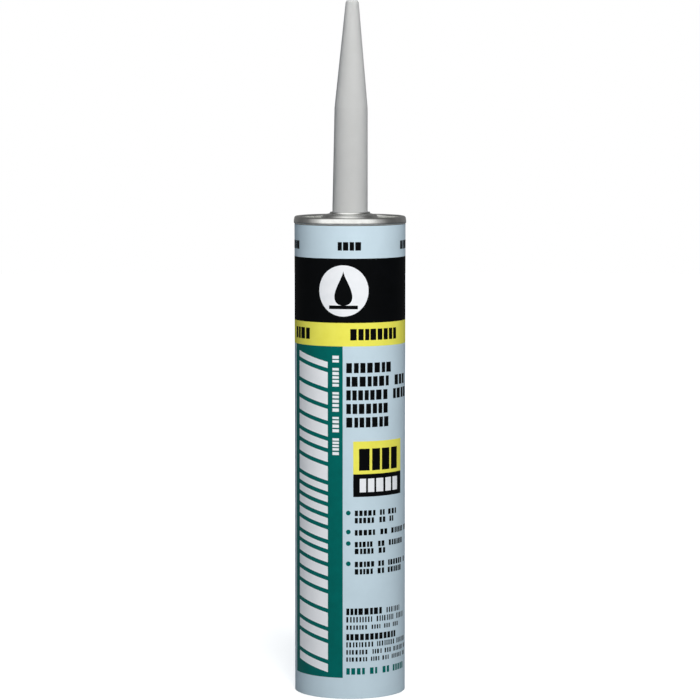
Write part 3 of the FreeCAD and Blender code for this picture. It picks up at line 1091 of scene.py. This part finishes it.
@dataclass
class Studio:
    """A pale floor, soft lamps and a white room, laid out in metres.

    The floor lies a little under the part, so that they share no plane. The mirror levels are the room's
    brightness in reflections, from its dark side, 0, to its bright side, 1.
    """

    floor_rings: tuple[float, ...] = (3.0, 0.8, 0.2, 0.05, 0.0)
    floor_drop: float = 0.00005
    ambient: float = 0.2
    sky: str = "#DCEEFF"
    bright_side: tuple[float, float, float] = (-0.15, -0.98, 0.06)
    mirror_strength: float = 1.1
    mirror_levels: tuple[tuple[float, float], ...] = (
        (0.0, 0.16),
        (0.34, 0.1),
        (0.5, 0.15),
        (0.63, 0.36),
        (0.71, 0.58),
        (0.82, 1.0),
    )
    lamps: tuple[SoftBox, ...] = (
        SoftBox("key_softbox", 8.0, 42.0, 1.15, 0.55, 0.55, 14.2, warmth="#FFFEFA"),
        SoftBox("fill_softbox", 180.0, 35.0, 1.2, 0.6, 0.6, 9.0),
    )

    def seen_straight(self, tree: bpy.types.NodeTree, rays: bpy.types.Node) -> bpy.types.NodeSocket:
        """One for rays from the camera or through glass, and nothing for any other ray."""
        kinds = {0: rays.outputs["Is Camera Ray"], 1: rays.outputs["Is Transmission Ray"]}
        return add_node(tree, "ShaderNodeMath", kinds, operation="MAXIMUM").outputs[0]

    def make_world(self) -> None:
        """White to the camera, dim light on the object, and in reflections bright on one side only.

        The reflected brightness follows the ray's direction along the bright side, so that the metal has
        a bright face and a dark one.
        """
        world = bpy.data.worlds.new("white_room")
        bpy.context.scene.world = world
        tree = empty_tree(world)
        rays = add_node(tree, "ShaderNodeLightPath")
        place = add_node(tree, "ShaderNodeTexCoord")
        sides = {0: place.outputs["Generated"], 1: self.bright_side}
        towards = add_node(tree, "ShaderNodeVectorMath", sides, operation="DOT_PRODUCT")
        share = add_node(
            tree, "ShaderNodeMapRange", {"Value": towards.outputs["Value"], "From Min": -1.0, "From Max": 1.0}
        )
        levels = add_node(
            tree,
            "ShaderNodeValToRGB",
            {"Fac": share.outputs["Result"]},
            stops=[(stop, (level, level, level, 1.0)) for stop, level in self.mirror_levels],
        )
        light = add_node(tree, "ShaderNodeBackground", {"Color": srgb(self.sky), "Strength": self.ambient})
        mirror = {"Color": levels.outputs["Color"], "Strength": self.mirror_strength}
        mirrored = add_node(tree, "ShaderNodeBackground", mirror)
        white = add_node(tree, "ShaderNodeBackground", {"Color": WHITE, "Strength": 1.0})
        glossy = rays.outputs["Is Glossy Ray"]
        lit = add_node(tree, "ShaderNodeMixShader", {0: glossy, 1: light.outputs[0], 2: mirrored.outputs[0]})
        direct = self.seen_straight(tree, rays)
        seen = add_node(tree, "ShaderNodeMixShader", {0: direct, 1: lit.outputs[0], 2: white.outputs[0]})
        add_node(tree, "ShaderNodeOutputWorld", {"Surface": seen.outputs[0]})

    def floor_material(self) -> bpy.types.Material:
        """Matte white paper that keeps the object's shadow and fades into the white room around it; to
        reflections and bounced light it is a grey copy, a painted shade.
        """
        material = bpy.data.materials.new("white_sweep_paper")
        tree = empty_tree(material)
        rays = add_node(tree, "ShaderNodeLightPath")
        place = add_node(tree, "ShaderNodeTexCoord")
        away = add_node(tree, "ShaderNodeVectorMath", {0: place.outputs["Object"]}, operation="LENGTH")
        fade = add_node(
            tree,
            "ShaderNodeMapRange",
            {"Value": away.outputs["Value"], "From Min": 0.1, "From Max": 0.9, "To Min": 0.3, "To Max": 1.0},
        )
        paper = add_node(tree, "ShaderNodeBsdfDiffuse", {"Color": srgb("#EDEDED")})
        # Painted shade: a grey copy of the paper, seen by every ray except the camera's and those through
        # glass, so the floor looks darker in reflections and bounces less light
        painted_shade_paper = add_node(tree, "ShaderNodeBsdfDiffuse", {"Color": srgb("#8C8C8C")})
        glow = add_node(tree, "ShaderNodeEmission", {"Color": WHITE, "Strength": fade.outputs["Result"]})
        bright = add_node(tree, "ShaderNodeAddShader", {0: paper.outputs[0], 1: glow.outputs[0]})
        direct = self.seen_straight(tree, rays)
        seen = add_node(tree, "ShaderNodeMixShader", {0: direct, 1: painted_shade_paper.outputs[0], 2: bright.outputs[0]})
        add_node(tree, "ShaderNodeOutputMaterial", {"Surface": seen.outputs[0]})
        return material

    def make_floor(self) -> bpy.types.Object:
        """A round sheet of paper under the object, turned from its edge to its middle."""
        line = np.array([(radius, -self.floor_drop) for radius in self.floor_rings]) / MM
        patch = lathe(line, 96)
        mesh = bpy.data.meshes.new("floor")
        mesh.from_pydata((patch.points * MM).tolist(), [], patch.faces.tolist())
        mesh.materials.append(self.floor_material())
        floor = link_object("floor", mesh)
        return floor

    def build(self) -> None:
        """Make the room, the floor, the lamps and the camera."""
        self.make_world()
        self.make_floor()
        for lamp in self.lamps:
            lamp.build()
        PhotoCamera().build()
        bpy.context.scene.view_settings.view_transform = "Standard"


def main() -> None:
    """Build every sub-assembly in order."""
    logging.basicConfig(level=logging.INFO, format="%(name)s: %(message)s")
    TubeInside().build()
    PrintedLabel().build()
    MetalEnd().build()
    Nozzle().build()
    Plunger().build()
    Studio().build()


if __name__ == "__main__":
    main()
